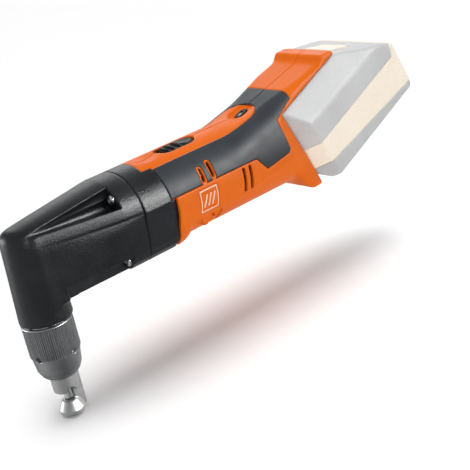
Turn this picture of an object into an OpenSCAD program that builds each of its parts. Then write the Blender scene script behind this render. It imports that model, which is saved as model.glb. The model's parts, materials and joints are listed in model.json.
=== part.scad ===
// Cordless nibbler: right-angle gear head, die and punch, barrel with slide switch, slide-on battery.
// X runs from the die axis back to the battery, Z is up the die axis, Y is across the tool.
// The origin is the centre of the die's bottom face.

/* [Barrel] */
// Radius of the barrel
barrel_r = 32.4; // [31.5:0.1:34]
// Height of the barrel's axis above the die's bottom face
barrel_z = 119; // [118:0.5:121]
// Thickness of the plastic shell
shell_t = 3; // [2.6:0.1:3.4]

/* [Gear head] */
// Radius of the nose boss at its lower end
boss_r = 18.3; // [18:0.1:19]
// Height of the boss's lower end
boss_z = 76; // [76:0.1:76.4]
// Where the head meets the middle housing
seam_1 = 77.3; // [77:0.1:78]
// Where the middle housing meets the grip, above the side crease
seam_2 = 100.3; // [100:0.1:101]
// Where the middle housing meets the shell, below the side crease
seam_3 = 105; // [104.5:0.1:105.5]

/* [Die and punch] */
// Radius of the die's foot, which a starter hole must clear
foot_r = 9.4; // [9.2:0.1:9.4]
// Radius of the punch
punch_r = 3.2; // [3:0.1:3.3]
// Height of the punch's tip at the middle of its stroke
punch_z = 13.5; // [13.5:0.1:14]
// Half of the punch's stroke
throw = 3.5; // [3:0.1:3.5]
// Radius of the knurled nut
nut_r = 18; // [17.6:0.1:18.2]

/* [Drive] */
// Height of the crankshaft
crank_z = 107; // [107:0.1:107.2]
// Tooth module
tooth_m = 0.6; // [0.6:0.01:0.6]
// Teeth on the motor pinion
pinion_n = 11; // [11:1:11]
// Teeth on the crankshaft's gear
gear_n = 37; // [37:1:37]

/* [Battery] */
// Tilt of the battery's slide above the barrel axis
pack_tilt = 24; // [23.5:0.5:24.5]
// Half the battery's width
pack_w = 38; // [37:0.5:39]
// Height of the battery
pack_h = 71.5; // [71.5:0.1:71.5]
// Wall of the battery's case
pack_t = 2.4; // [2:0.1:2.6]

/* [Hidden] */
$fn = 96;

motor_z = crank_z + tooth_m * (pinion_n + gear_n) / 2; // height of the motor's axis
tongue_x = 92.5;               // front end of the shell's top tongue
crease_z = barrel_z + 6;       // height of the crease along the head's sides
keel_z = 87.2;                 // underside of the head
bore_r = barrel_r - shell_t;   // inside of the shell
head_r0 = 25;                  // radius of the head's tapered top over the die axis
taper_x = 62;                  // where the head's taper reaches the full barrel
pack_x = 256.4;                // lower front corner of the battery, where its slide frame starts
pack_z = 85.8;
pack_u0 = -11;                 // front face of the battery along the slide
pack_u1 = 106;                 // rear end of the battery along the slide
top_u = 58;                    // where the battery's level top ends and its rear slope starts
rear_v = 42;                   // height of the battery's rear edge
gap = 0.4;                     // space between the foot and the battery
big = 400;

bearing_r = 11;                // ball bearings of one size: 8 by 22 by 7
bearing_bore = 4;
bearing_w = 7;
race_r0 = 6;                   // outside of an inner ring
race_r1 = 9.1;                 // inside of an outer ring
ball_r = 1.5;
ball_ring = 7.55;              // radius of the circle of ball centres
ball_n = 9;
crank_front_x = 14;            // front faces of the four bearings
crank_rear_x = 77.5;
rotor_front_x = 87;
rotor_rear_x = 168;

// ---- helpers ----
module on_x(x, z, y = 0) translate([x, y, z]) rotate([0, 90, 0]) children();
module rod(x0, x1, r, z, y = 0) on_x(x0, z, y) cylinder(h = x1 - x0, r = r);
module tube(h, ro, ri) difference() {
    cylinder(h = h, r = ro);
    translate([0, 0, -1]) cylinder(h = h + 2, r = ri);
}
module side_plate(y0, y1, pts) translate([0, y1, 0]) rotate([90, 0, 0]) linear_extrude(y1 - y0) polygon(pts);
module block(x0, x1, y0, y1, z0, z1) translate([x0, y0, z0]) cube([x1 - x0, y1 - y0, z1 - z0]);
module pair() {
    children();
    mirror([0, 1, 0]) children();
}
module in_pack() translate([pack_x, 0, pack_z]) rotate([0, -pack_tilt, 0]) children();

// ---- housings ----
// Cross-section of the head behind the nose, looking along the barrel, drawn as (y, z)
module keel_2d() {
    w = sqrt(pow(barrel_r, 2) - pow(crease_z - barrel_z, 2));
    half = [[w - 1.2, crease_z + 2], [w - 0.1, crease_z], [29.3, 111], [26.7, 97], [24.6, 92], [19.6, keel_z]];
    polygon(concat(half, [for (i = [len(half) - 1:-1:0]) [-half[i][0], half[i][1]]]));
}
module keel(x0, x1) translate([x0, 0, 0]) rotate([90, 0, 90]) linear_extrude(x1 - x0) keel_2d();
module barrel(x0, x1, r = barrel_r) rod(x0, x1, r, barrel_z);
module head_top() difference() {
    union() {
        on_x(-20, barrel_z) cylinder(h = taper_x + 20, r2 = barrel_r,
            r1 = head_r0 - 20 * (barrel_r - head_r0) / taper_x);
        barrel(taper_x - 0.01, seam_1);
    }
    block(-30, seam_1 + 1, -big, big, barrel_z - 60, crease_z);
}
module head_plan() {
    flare = [[-2, boss_r - 1.5], [28, 24], [taper_x, barrel_r - 0.6], [seam_1, barrel_r + 1]];
    back = [for (i = [len(flare) - 1:-1:0]) [flare[i][0], -flare[i][1]]];
    translate([0, 0, keel_z - 1]) linear_extrude(80) polygon(concat(flare, back));
    translate([0, 0, keel_z - 1]) cylinder(h = 80, r1 = boss_r - 0.6, r2 = boss_r - 4);
}
module head_body() {
    intersection() {
        union() { head_top(); keel(-20, seam_1); }
        head_plan();
    }
    translate([0, 0, boss_z]) cylinder(h = 30, r1 = boss_r, r2 = boss_r - 1.4);
}
// Screw holes and channels: upper pair beside the top, lower pair beside the keel
screw_top = barrel_z + 20.5;
screw_low = 94;
module head_screw_axes() for (s = [-1, 1], p = [[18.5, screw_top], [20, screw_low]])
    translate([0, s * p[0], p[1]]) children();
module gear_head() color([0.12, 0.12, 0.13]) difference() {
    head_body();
    // channels that let a driver reach the four screws
    pair() translate([taper_x, 21.5, screw_top + 2]) rotate([0, -90, 2.2]) cylinder(h = 90, r = 9);
    pair() translate([taper_x, 22.5, 91.5]) rotate([0, -90, 1]) cylinder(h = 50, r = 5.2);
    head_screw_axes() on_x(taper_x - 2.8, 0) cylinder(h = 2.8, r = 3.8);
    head_screw_axes() on_x(50, 0) cylinder(h = 40, r = 2.1);
    // collar seat, ram bore and upper bush seat
    translate([0, 0, boss_z - 1]) cylinder(h = 13, r = 15);
    translate([0, 0, boss_z]) cylinder(h = 51, r = 13);
    translate([0, 0, 120]) cylinder(h = 17, r = 8);
    translate([0, 0, 130]) cylinder(h = 9.5, r = 6);
    // crank chamber, front bearing seat and gear chamber
    rod(2, crank_front_x, 12.2, crank_z);
    rod(crank_front_x - 0.5, crank_front_x + bearing_w, bearing_r, crank_z);
    rod(crank_front_x, 30, 9, crank_z);
    rod(24, seam_1 + 1, 20, 113);
}
module middle_housing() color([0.13, 0.13, 0.14]) difference() {
    union() {
        difference() {
            union() {
                difference() {
                    barrel(seam_1, seam_3);
                    block(seam_1 - 1, seam_3 + 1, -big, big, barrel_z - 60, crease_z);
                }
                keel(seam_1, seam_3);
            }
            block(seam_2, seam_3 + 1, -big, big, crease_z, big);
            block(tongue_x, seam_3, -15, 15, 140, big);
        }
        rod(seam_1 + 4, seam_3 + 5, bore_r - 0.1, barrel_z);
    }
    head_screw_axes() on_x(50, 0) cylinder(h = 48, r = 1.6);
    rod(seam_1 - 1, crank_rear_x + bearing_w, bearing_r, crank_z);
    rod(rotor_front_x, rotor_front_x + bearing_w, bearing_r, motor_z);
    rod(seam_1 - 1, rotor_front_x + 1, 3, motor_z);
    rod(seam_1 - 1, seam_1 + 5, 5, motor_z);
    rod(rotor_front_x + bearing_w, seam_3 + 6, 22, barrel_z);
    rod(rotor_front_x + bearing_w - 2, seam_3, 9.5, motor_z);
}
module head_screws() color([0.75, 0.76, 0.78]) head_screw_axes() {
    on_x(taper_x - 2.6, 0) cylinder(h = 2.6, r = 3.6);
    on_x(taper_x - 0.1, 0) cylinder(h = 34, r = 1.6);
}
// Solid outline of the orange housing: barrel, keel step, flared neck and battery foot
foot_w = 27.25;
neck_tilt = 16;
neck_top = 30;
neck_round = 15;
// The neck is drawn along its own axis: flat sides, a broad top and rounded upper edges
module neck(inset = 0) translate([192, 0, 119.6]) rotate([0, -neck_tilt, 0]) {
    block(-12, 108, -foot_w + inset, foot_w - inset, -6, neck_top - neck_round);
    block(-12, 108, -foot_w + neck_round, foot_w - neck_round, -6, neck_top - inset);
    pair() translate([-12, foot_w - neck_round, neck_top - neck_round]) rotate([0, 90, 0])
        cylinder(h = 120, r = neck_round - inset);
}
toe_pts = [[222, 100], [229, 86.6], [237, 79.5], [247, 80.5], [262, 140], [240, 140]];
lip_pts = [[258, 163], [264, 172], [267.5, 176.8], [278.5, 177.3], [281, 175], [276, 165]];
module shell_solid() difference() {
    union() {
        barrel(seam_2, 262);
        intersection() {
            keel(seam_3, 127);
            side_plate(-40, 40, [[seam_3 - 1, 80], [118, 80], [126, 102], [126, 130], [seam_3 - 1, 130]]);
        }
        barrel_tongue();
        neck();
        side_plate(-foot_w, foot_w, toe_pts);
        side_plate(-foot_w, foot_w, lip_pts);
    }
    keel_cut();
    // the sides close in to the width of the foot at the battery's front face
    pair() in_pack() translate([0, 0, -60]) linear_extrude(280)
        polygon([[pack_u0 - gap, foot_w], [-25, 33.4], [-25, 60], [200, 60], [200, foot_w]]);
    in_pack() translate([pack_u0 - gap, -60, -60]) cube([200, 120, 60 + pack_h + gap]);
    block(281, 340, -60, 60, 80, 260);
}
// The shell's top reaches forward over the middle housing, behind the dished thumb rest
module barrel_tongue() intersection() {
    barrel(tongue_x, seam_2 + 1);
    block(tongue_x - 1, seam_2 + 1, -15, 15, 140, 160);
}
module keel_cut() block(seam_2 - 1, seam_3, -big, big, 0, crease_z);
module shell_bore() {
    intersection() {
        barrel(seam_2 - 1, 262, bore_r);
        in_pack() translate([-big - 21, -60, -100]) cube([big, 120, 300]);
    }
    barrel(90, seam_2, bore_r);
    intersection() {
        neck(shell_t);
        block(186, 276, -40, 40, 80, 200);
        in_pack() translate([-big, -60, pack_h + gap + shell_t]) cube([2 * big, 120, 100]);
    }
}
// Screws that hold the two shells together go in from the right side, as (x, z)
shell_screw_at = [[118, 94.5], [178, 94.5], [224, 97], [198, 131], [214, 150]];
module at_shell_screws() for (p = shell_screw_at) translate([p[0], 0, p[1]]) rotate([-90, 0, 0]) children();
module slot(x0, x1, w, z0, z1) {
    block(x0 + w, x1 - w, -w, w, z0, z1);
    for (x = [x0 + w, x1 - w]) translate([x, 0, z0]) cylinder(h = z1 - z0, r = w);
}
// Air vents in the side: two upper pairs and a lower pair, as (x, bottom, top)
vent_at = [[131.5, 126.5, 136.5], [140.3, 127, 138.3], [167.2, 105.5, 124.3], [173.4, 105.5, 124.3],
    [135.5, 90.3, 100.8], [144, 90.3, 100.5]];
module vents() for (v = vent_at) block(v[0] - 1.4, v[0] + 1.4, -40, 40, v[1], v[2]);
badge_pts = [[123.4, 104.6], [141.2, 104.6], [141.2, 123], [123.4, 123]];
module shell_halves() difference() {
    union() {
        difference() { shell_solid(); shell_bore(); }
        intersection() {
            union() {
                at_shell_screws() translate([0, 0, -30]) cylinder(h = 60, r = 4);
                // lugs that hold the switch module and the control board
                block(179, 194, -8, 8, 145.5, 150);
                block(184, 222, -29, 29, 106, 108);
            }
            barrel(seam_3 + 6, 232, bore_r + 0.5);
        }
    }
    vents();
    at_shell_screws() translate([0, 0, -12]) cylinder(h = 60, r = 1.5);
    at_shell_screws() translate([0, 0, 15]) cylinder(h = 60, r = 3.2);
    // switch opening, lens opening, badge seats, terminal pocket
    slot(116.8, 151.2, 8.5, 140, 160);
    lens_frame() block(-6.2, 6.2, -3.5, 3.5, -10, 20);
    // dished thumb rest and the dish round the lens
    translate([105.5, 0, 179.2]) sphere(r = 30);
    lens_frame() translate([0, 0, 24]) sphere(r = 24);
    difference() {
        side_plate(-40, 40, badge_pts);
        barrel(120, 145, barrel_r - 1.2);
    }
    in_pack() translate([-18, -16.2, 50]) cube([10, 32.4, 13]);
    grip_region();
}
module shell_left() color([0.95, 0.45, 0.13]) intersection() {
    shell_halves();
    block(0, 300, -60, 0, 0, 200);
}
module shell_right() color([0.95, 0.45, 0.13]) intersection() {
    shell_halves();
    block(0, 300, 0, 60, 0, 200);
}
// The grip is the outer layer of the barrel inside an outline drawn on the side, as (x, z)
grip_t = 1.2;
grip_pts = [[seam_2, 125.6], [181, 125.6], [184, 121.5], [189.5, 115], [215.5, 120.2], [214, 145],
    [232, 156], [232, 175], [seam_2, 175]];
module grip_region() difference() {
    side_plate(-40, 40, grip_pts);
    barrel(seam_2 - 1, 262, barrel_r - grip_t);
    neck(grip_t);
    block(90, 193.5, -16.3, 16.3, 130, 180);
    translate([193.5, 0, 130]) cylinder(h = 50, r = 16.3);
    // the shell stands up round the two upper vents
    for (v = [vent_at[0], vent_at[1]]) block(v[0] - 2.5, v[0] + 2.5, -40, 40, v[1] - 1.2, v[2] + 1.1);
}
module grip() difference() {
    intersection() {
        grip_region();
        union() {
            barrel(seam_2 + 0.1, 262);
            neck();
        }
    }
    vents();
    at_shell_screws() translate([0, 0, 10]) cylinder(h = 60, r = 3.2);
}
module grip_left() color([0.22, 0.23, 0.25]) intersection() {
    grip();
    block(0, 300, -60, 0, 0, 200);
}
module grip_right() color([0.22, 0.23, 0.25]) intersection() {
    grip();
    block(0, 300, 0, 60, 0, 200);
}
module shell_screws() color([0.2, 0.2, 0.21]) at_shell_screws() {
    translate([0, 0, -12]) cylinder(h = 28, r = 1.5);
    translate([0, 0, 15]) cylinder(h = 2.2, r = 2.8);
}

// ---- die end ----
module ram_bush_lower() color([0.72, 0.55, 0.3]) translate([0, 0, 57]) tube(31, 11, 8);
module ram_bush_upper() color([0.72, 0.55, 0.3]) translate([0, 0, 127]) tube(10, 8, 5);
module die_collar() color([0.7, 0.71, 0.73]) {
    translate([0, 0, 53.4]) tube(34.6, 15, 11);
    translate([0, 0, boss_z - 0.7]) tube(0.7, 17.2, 14.5);
}
module die_nut() color([0.5, 0.51, 0.53]) difference() {
    rotate_extrude() polygon([[9.4, 32.7], [11.5, 32.7], [13.6, 35.2], [15.6, 39.2], [17.2, 50.6],
        [nut_r, 51.4], [nut_r, 74], [nut_r - 0.8, 74.9], [15.05, 74.9], [15.05, 53], [13.9, 53],
        [13.9, 46.6], [9.4, 46.6]]);
    for (a = [-72:90:198]) rotate([0, 0, a]) translate([0, 0, 47.5]) rotate([0, 90, 0])
        translate([0, 0, 14.6]) cylinder(h = 10, r = 2);
}
module die() color([0.56, 0.57, 0.59]) difference() {
    union() {
        translate([0, 0, 47]) cylinder(h = 6, r = 13.5);
        translate([0, 0, 20]) cylinder(h = 28, r = 9.2);
        intersection() {
            block(2.6, 12, -3.1, 3.1, 6, 22);
            cylinder(h = 40, r = 9.6);
        }
        rotate_extrude() polygon([[0, 0], [5.2, 0], [7.6, 1.2], [9, 3], [foot_r, 4.6], [foot_r, 8.2],
            [8.4, 10], [6.4, 11], [0, 11]]);
    }
    translate([0, 0, -1]) cylinder(h = 60, r = punch_r + 0.1);
    // relief in the neck that shows the punch
    translate([-1, 0, 20]) rotate([90, 0, 0]) cylinder(h = 40, r = 3.4, center = true);
}
module ram() color([0.62, 0.63, 0.65]) difference() {
    union() {
        translate([0, 0, 57]) cylinder(h = 36, r = 7.95);
        block(-5.5, 5.5, -11, 11, 92, 122);
        translate([0, 0, 121]) cylinder(h = 14, r = 4.95);
    }
    block(-10, 10, -7.1, 7.1, 96.6, 117.4);
    translate([0, 0, 50]) cylinder(h = 25, r = punch_r);
    translate([0, 0, 62]) rotate([0, 90, 0]) cylinder(h = 10, r = 1.5);
}
module punch() color([0.78, 0.79, 0.8]) difference() {
    translate([0, 0, punch_z]) cylinder(h = 75 - punch_z, r = punch_r);
    translate([1.2, -5, punch_z - 1]) cube([4, 10, 2.4]);
}
module punch_screw() color([0.25, 0.25, 0.26]) translate([punch_r, 0, 62]) rotate([0, 90, 0])
    cylinder(h = 4.4, r = 1.5);

// ---- drive ----
function inv(a) = tan(a) - a * PI / 180;
// One involute flank from the root circle to the tip, as points around the tooth's centre line
function flank(n, s) = let (p = tooth_m * n / 2, b = p * cos(25), tip = p + tooth_m,
    root = p - 1.25 * tooth_m, half = (PI / (2 * n) - 0.11 / (2 * p)) * 180 / PI + inv(25) * 180 / PI)
    [for (i = [0:4]) let (r = i == 0 ? root : max(b, root) + (tip - max(b, root)) * (i - 1) / 3,
        a = acos(min(1, b / max(r, b))), t = half - inv(a) * 180 / PI) [r, s * t]];
module gear_2d(n) polygon([for (k = [0:n - 1], s = [-1, 1]) let (f = flank(n, s))
    for (i = [0:4]) let (q = f[s < 0 ? i : 4 - i], a = k * 360 / n + q[1]) q[0] * [cos(a), sin(a)]]);
module gear(x0, x1, z, n, turn) on_x(x0, z) rotate([0, 0, turn]) linear_extrude(x1 - x0) gear_2d(n);
module crankshaft() color([0.6, 0.61, 0.63]) {
    rod(-5.3, 9, 3, crank_z, throw);
    rod(8.4, 13, 10, crank_z);
    rod(12.9, crank_rear_x + bearing_w, bearing_bore, crank_z);
    rod(crank_front_x + bearing_w + 0.5, 60, 6, crank_z);
}
module drive_gear() color([0.45, 0.46, 0.48]) difference() {
    gear(64, 72, crank_z, gear_n, 180);
    rod(63, 73, bearing_bore, crank_z);
    for (a = [0:60:300]) translate([0, 7.3 * cos(a), crank_z + 7.3 * sin(a)]) rod(63, 73, 1.6, 0);
}
module bearing_inner(x, z) {
    on_x(x, z) tube(bearing_w, race_r0, bearing_bore);
    for (k = [0:ball_n - 1]) on_x(x + bearing_w / 2, z) rotate([0, 0, k * 360 / ball_n])
        translate([ball_ring, 0, 0]) sphere(ball_r, $fn = 24);
}
module bearing_outer(x, z) on_x(x, z) tube(bearing_w, bearing_r, race_r1);
module crank_bearing_inners() color([0.72, 0.73, 0.75]) {
    bearing_inner(crank_front_x, crank_z);
    bearing_inner(crank_rear_x, crank_z);
}
module rotor_bearing_inners() color([0.72, 0.73, 0.75]) {
    bearing_inner(rotor_front_x, motor_z);
    bearing_inner(rotor_rear_x, motor_z);
}
module bearing_outers() color([0.68, 0.69, 0.71]) {
    bearing_outer(crank_front_x, crank_z);
    bearing_outer(crank_rear_x, crank_z);
    bearing_outer(rotor_front_x, motor_z);
    bearing_outer(rotor_rear_x, motor_z);
}
module rotor_shaft() color([0.6, 0.61, 0.63]) {
    gear(63.5, 73, motor_z, pinion_n, 180 / pinion_n);
    rod(72.9, rotor_front_x, 2.3, motor_z);
    rod(rotor_front_x, 176, bearing_bore, motor_z);
}
motor_x0 = 138;
motor_x1 = 163;
module rotor_core() color([0.35, 0.36, 0.38]) on_x(motor_x0 + 1, motor_z)
    tube(motor_x1 - motor_x0 - 2, 13.2, bearing_bore);
module fan() color([0.15, 0.15, 0.16]) difference() {
    on_x(126, motor_z) {
        cylinder(h = 7, r = 8);
        cylinder(h = 1.4, r = 23.5);
        for (k = [0:10]) rotate([0, 0, k * 360 / 11]) translate([7.5, -0.7, 0]) cube([15.5, 1.4, 6.5]);
    }
    rod(125, 134, bearing_bore, motor_z);
}
stator_r = 22.5;
module stator_core() color([0.4, 0.41, 0.43]) on_x(motor_x0, motor_z) difference() {
    cylinder(h = motor_x1 - motor_x0, r = stator_r);
    translate([0, 0, -1]) cylinder(h = 40, r = 13.7);
    for (k = [0:5]) rotate([0, 0, 30 + k * 60]) translate([13, -3.4, -1]) cube([6.5, 6.8, 40]);
}
module stator_windings() color([0.72, 0.42, 0.2]) {
    for (x = [motor_x0 - 3, motor_x1], k = [0:5]) on_x(x, motor_z) rotate([0, 0, k * 60]) difference() {
        translate([14.2, -4.6, 0]) cube([6.6, 9.2, 3]);
        translate([16, -2.8, -1]) cube([3, 5.6, 5]);
    }
}
module motor_mount() color([0.2, 0.2, 0.21]) difference() {
    union() {
        rod(rotor_rear_x, 175.5, bore_r - 0.1, barrel_z);
        intersection() {
            rod(motor_x0 + 2, rotor_rear_x + 1, bore_r - 0.1, barrel_z);
            for (a = [25, 155, 205, 335]) on_x(motor_x0, barrel_z) rotate([0, 0, a]) translate([19, -4, 0])
                cube([12, 8, 40]);
        }
    }
    rod(motor_x0 - 1, motor_x1 + 0.1, stator_r, motor_z);
    rod(motor_x1, motor_x1 + 3.3, 21.6, motor_z);
    rod(rotor_rear_x - 6, rotor_rear_x + bearing_w, bearing_r, motor_z);
    rod(170, 180, 6, motor_z);
    // air openings and a notch that the switch rod runs through
    for (a = [45:90:315]) on_x(160, barrel_z) rotate([0, 0, a]) translate([17, -6, 0]) cube([8, 12, 30]);
    block(160, 180, -5, 5, 141.5, 160);
    at_shell_screws() translate([0, 0, -30]) cylinder(h = 60, r = 4.3);
}
module control_board() color([0.1, 0.35, 0.2]) block(184, 222, -20, 20, 108, 109.6);
module board_parts() color([0.2, 0.2, 0.22]) {
    for (x = [188:8:212], y = [-14, 6]) block(x, x + 6, y, y + 8, 109.6, 112);
    for (y = [-5, 5]) translate([211, y, 109.6]) cylinder(h = 12, r = 4);
}
module switch_module() color([0.16, 0.16, 0.17]) block(178.6, 192, -6, 6, 136.5, 145.5);
// Frame at the bottom of the lens dish, tilted with the neck
module lens_frame() translate([200.5, 0, 151.4]) rotate([0, -neck_tilt, 0]) children();
module status_lens() color([0.15, 0.12, 0.1]) lens_frame() block(-6, 6, -3.3, 3.3, -3, 0.4);
module badge_plates() color([0.96, 0.6, 0.35]) difference() {
    intersection() {
        side_plate(-40, 40, badge_pts);
        barrel(120, 145, barrel_r - 0.3);
    }
    barrel(120, 145, barrel_r - 1.2);
}
module switch_button() color([0.1, 0.1, 0.11]) intersection() {
    union() {
        slot(122.3, 150.4, 7.9, 147.2, 149.6);
        intersection() {
            for (x = [123.4, 129, 135]) block(x, x + 2.2, -6.6, 6.6, 149, 151.6);
            slot(122.9, 149.8, 7.3, 148, 160);
        }
        slot(136.6, 149.4, 6.6, 149, 150.8);
    }
    barrel(110, 160, barrel_r + 0.6);
}
module switch_rod() color([0.3, 0.3, 0.31]) {
    block(128, 178, -3.5, 3.5, 145, 146.4);
    block(130, 142, -3, 3, 146.3, 147.2);
}

// ---- battery, drawn in the slide's own frame: x along the slide, z across it ----
// Rounded outline of the case seen across the slide
module round_plan(x0, x1, w, r0, r1, h) {
    block(x0 + r0, x1 - r1, -w, w, -1, h);
    block(x0, x1, -w + r0, w - r0, -1, h);
    for (s = [-1, 1]) {
        translate([x0 + r0, s * (w - r0), -1]) cylinder(h = h + 1, r = r0);
        translate([x1 - r1, s * (w - r1), -1]) cylinder(h = h + 1, r = r1);
    }
}
module case_solid(t) difference() {
    intersection() {
        side_plate(-pack_w + t, pack_w - t, [[pack_u0 + t, 9], [-4 + t, t], [101, t], [pack_u1 - t, 6],
            [pack_u1 - t, rear_v - t], [top_u - t, pack_h - t], [pack_u0 + t, pack_h - t]]);
        round_plan(pack_u0 + t, pack_u1 - t, pack_w - t, 9, 6, 90);
    }
    // long chamfers along both upper edges
    pair() translate([-20, 0, 0]) rotate([90, 0, 90]) linear_extrude(140)
        polygon([[27 - t, pack_h], [pack_w - t, 51.7], [60, 51.7], [60, 90], [27 - t, 90]]);
}
module case_hollow() intersection() {
    case_solid(pack_t);
    side_plate(-60, 60, [[-20, -5], [120, -5], [120, 36], [96, 40], [78, 44.5], [62, 47], [-20, 48]]);
}
band_pts = [[-20, 14.5], [0, 14.5], [107, 4.8], [120, 4.8], [120, 60], [104, 60], [98, 34.2], [-20, 34.2]];
module band_zone() side_plate(-60, 60, band_pts);
module pack_band() color([0.97, 0.9, 0.8]) in_pack() difference() {
    intersection() { case_solid(0); band_zone(); }
    case_hollow();
}
module pack_base() color([0.72, 0.72, 0.73]) in_pack() difference() {
    union() {
        difference() {
            intersection() {
                case_solid(0);
                side_plate(-60, 60, [[-20, 14.5], [0, 14.5], [107, 4.8], [120, 4.8], [120, -5], [-20, -5]]);
            }
            case_hollow();
        }
        at_pack_screws() cylinder(h = 4, r = 3.4);
    }
    at_pack_screws() translate([0, 0, -6]) cylinder(h = 20, r = 1.5);
    at_pack_screws() translate([0, 0, -6]) cylinder(h = 7.8, r = 2.8);
}
rail_u1 = 56;
module release_frame() translate([top_u, 0, pack_h]) rotate([0, 32.4, 0]) children();
module pack_top() color([0.8, 0.81, 0.82]) in_pack() difference() {
    intersection() {
        case_solid(0);
        side_plate(-60, 60, [[-20, 34.2], [98, 34.2], [104, 60], [104, 90], [-20, 90]]);
    }
    case_hollow();
    block(-20, rail_u1 + 1.2, -12, 12, 63, 90);
    block(-20, rail_u1 + 1.2, -18, 18, 60.4, 65.8);
    block(-20, 13, -14.5, 14.5, 46, 61);
    release_frame() block(7, 31, -14.4, 14.4, -6.5, 5);
}
module pack_cells() color([0.25, 0.45, 0.65]) in_pack() for (i = [0:4], v = [13.2, 32.4])
    translate([7.5 + i * 19.2, 32.5, v]) rotate([90, 0, 0]) cylinder(h = 65, r = 9.15);
module cell_holders() color([0.15, 0.15, 0.16]) in_pack() difference() {
    for (s = [-1, 1]) block(-1.5, 95.5, s * 26 - 3, s * 26 + 3, 3, 39.5);
    for (i = [0:4], v = [13.2, 32.4]) translate([7.5 + i * 19.2, 40, v]) rotate([90, 0, 0])
        cylinder(h = 80, r = 9.2);
}
module pack_board() color([0.1, 0.35, 0.2]) in_pack() block(-4, 58, -22, 22, 43, 44.6);
module pack_contacts() color([0.85, 0.66, 0.3]) in_pack() for (y = [-11.25:7.5:11.25]) difference() {
    block(-6, 8, y - 2.2, y + 2.2, 44.6, 58.5);
    block(-7, 9, y - 0.9, y + 0.9, 52, 60);
}
module at_pack_screws() for (u = [1, 98.5], s = [-1, 1]) translate([u, s * 31.8, 0]) children();
module pack_screws() color([0.3, 0.3, 0.31]) in_pack() at_pack_screws() {
    translate([0, 0, 1]) cylinder(h = 3, r = 1.5);
    translate([0, 0, 0.2]) cylinder(h = 1.6, r = 2.8);
}
module release_button() color([0.97, 0.9, 0.8]) in_pack() release_frame() {
    block(7.4, 30.6, -14, 14, -1.6, 1.6);
    block(10, 28, -8, 8, -2.2, 0);
}
module guide_rail() color([0.16, 0.16, 0.17]) in_pack() {
    block(-9, rail_u1, -11.6, 11.6, 65, pack_h + gap);
    block(-9, rail_u1, -17.6, 17.6, 60.8, 65.4);
}
module terminal_block() color([0.14, 0.14, 0.15]) in_pack() block(-17.9, -11.4, -16, 16, 50.2, 62.8);
module terminal_blades() color([0.85, 0.66, 0.3]) in_pack() for (y = [-11.25:7.5:11.25])
    block(-11.4, 7, y - 0.4, y + 0.4, 53, 58);

gear_head();
middle_housing();
head_screws();
shell_left();
shell_right();
grip_left();
grip_right();
shell_screws();
ram_bush_lower();
ram_bush_upper();
die_collar();
bearing_outers();
stator_core();
stator_windings();
motor_mount();
control_board();
board_parts();
switch_module();
status_lens();
badge_plates();
terminal_block();
terminal_blades();
guide_rail();
die_nut();
die();
ram();
punch();
punch_screw();
crankshaft();
drive_gear();
crank_bearing_inners();
rotor_shaft();
rotor_core();
fan();
rotor_bearing_inners();
switch_button();
switch_rod();
pack_base();
pack_band();
pack_top();
pack_cells();
cell_holders();
pack_board();
pack_contacts();
pack_screws();
release_button();
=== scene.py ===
import json
import math
from functools import reduce

import bpy
import numpy as np
from mathutils import Matrix, Vector


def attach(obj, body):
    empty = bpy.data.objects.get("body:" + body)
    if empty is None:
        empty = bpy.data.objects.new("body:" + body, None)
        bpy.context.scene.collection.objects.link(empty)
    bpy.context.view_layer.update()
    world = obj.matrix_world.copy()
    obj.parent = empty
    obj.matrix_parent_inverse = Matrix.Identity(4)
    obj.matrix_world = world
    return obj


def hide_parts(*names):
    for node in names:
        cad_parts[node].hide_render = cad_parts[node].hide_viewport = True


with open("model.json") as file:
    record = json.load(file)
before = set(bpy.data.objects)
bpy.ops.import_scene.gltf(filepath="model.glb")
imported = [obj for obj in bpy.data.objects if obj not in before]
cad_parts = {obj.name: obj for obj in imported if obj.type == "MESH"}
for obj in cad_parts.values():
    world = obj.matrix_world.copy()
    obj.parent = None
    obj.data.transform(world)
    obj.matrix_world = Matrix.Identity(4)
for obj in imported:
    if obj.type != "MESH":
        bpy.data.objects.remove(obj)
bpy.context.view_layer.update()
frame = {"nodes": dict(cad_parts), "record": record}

MM = 0.001

# ---------------------------------------- shapes as distance functions, in millimetres
# A shape is a field that is negative inside and positive outside. k is the width of a fillet or rounded edge.
def smin(a, b, k):
    """Joins two shapes with a fillet."""
    h = np.maximum(k - np.abs(a - b), 0.0) / k
    return np.minimum(a, b) - h * h * k * 0.25

def smax(a, b, k):
    """Keeps what is in both shapes, with a rounded edge."""
    return -smin(-a, -b, k)

def cut(a, b, k=0.6):
    """Takes b away from a."""
    return smax(a, -b, k)

def join(*shapes):
    return reduce(np.minimum, shapes)

def meet(*shapes):
    return reduce(np.maximum, shapes)

def slab(v, lo, hi):
    return np.maximum(lo - v, v - hi)

def around_x(Y, Z, z, y=0.0):
    """Distance from a line along X."""
    return np.sqrt((Y - y) ** 2 + (Z - z) ** 2)

def around_z(X, Y):
    """Distance from the Z axis, which is the die's."""
    return np.sqrt(X ** 2 + Y ** 2)

def pill(u, v, half, r):
    """Outline with round ends of radius r, whose centres are half each way along u."""
    return np.sqrt(np.maximum(np.abs(u) - half, 0) ** 2 + v ** 2) - r

def rod_x(X, Y, Z, x0, x1, r, z):
    return smax(around_x(Y, Z, z) - r, slab(X, x0, x1), 0.5)

def rod_y(X, Y, Z, y0, y1, r, x, z):
    return smax(np.sqrt((X - x) ** 2 + (Z - z) ** 2) - r, slab(Y, y0, y1), 0.3)

def rod_z(X, Y, Z, z0, z1, r, k=0.5):
    return smax(around_z(X, Y) - r, slab(Z, z0, z1), k)

def box3(X, Y, Z, lo, hi, k=0.5):
    return smax(smax(slab(X, lo[0], hi[0]), slab(Y, lo[1], hi[1]), k), slab(Z, lo[2], hi[2]), k)

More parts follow.
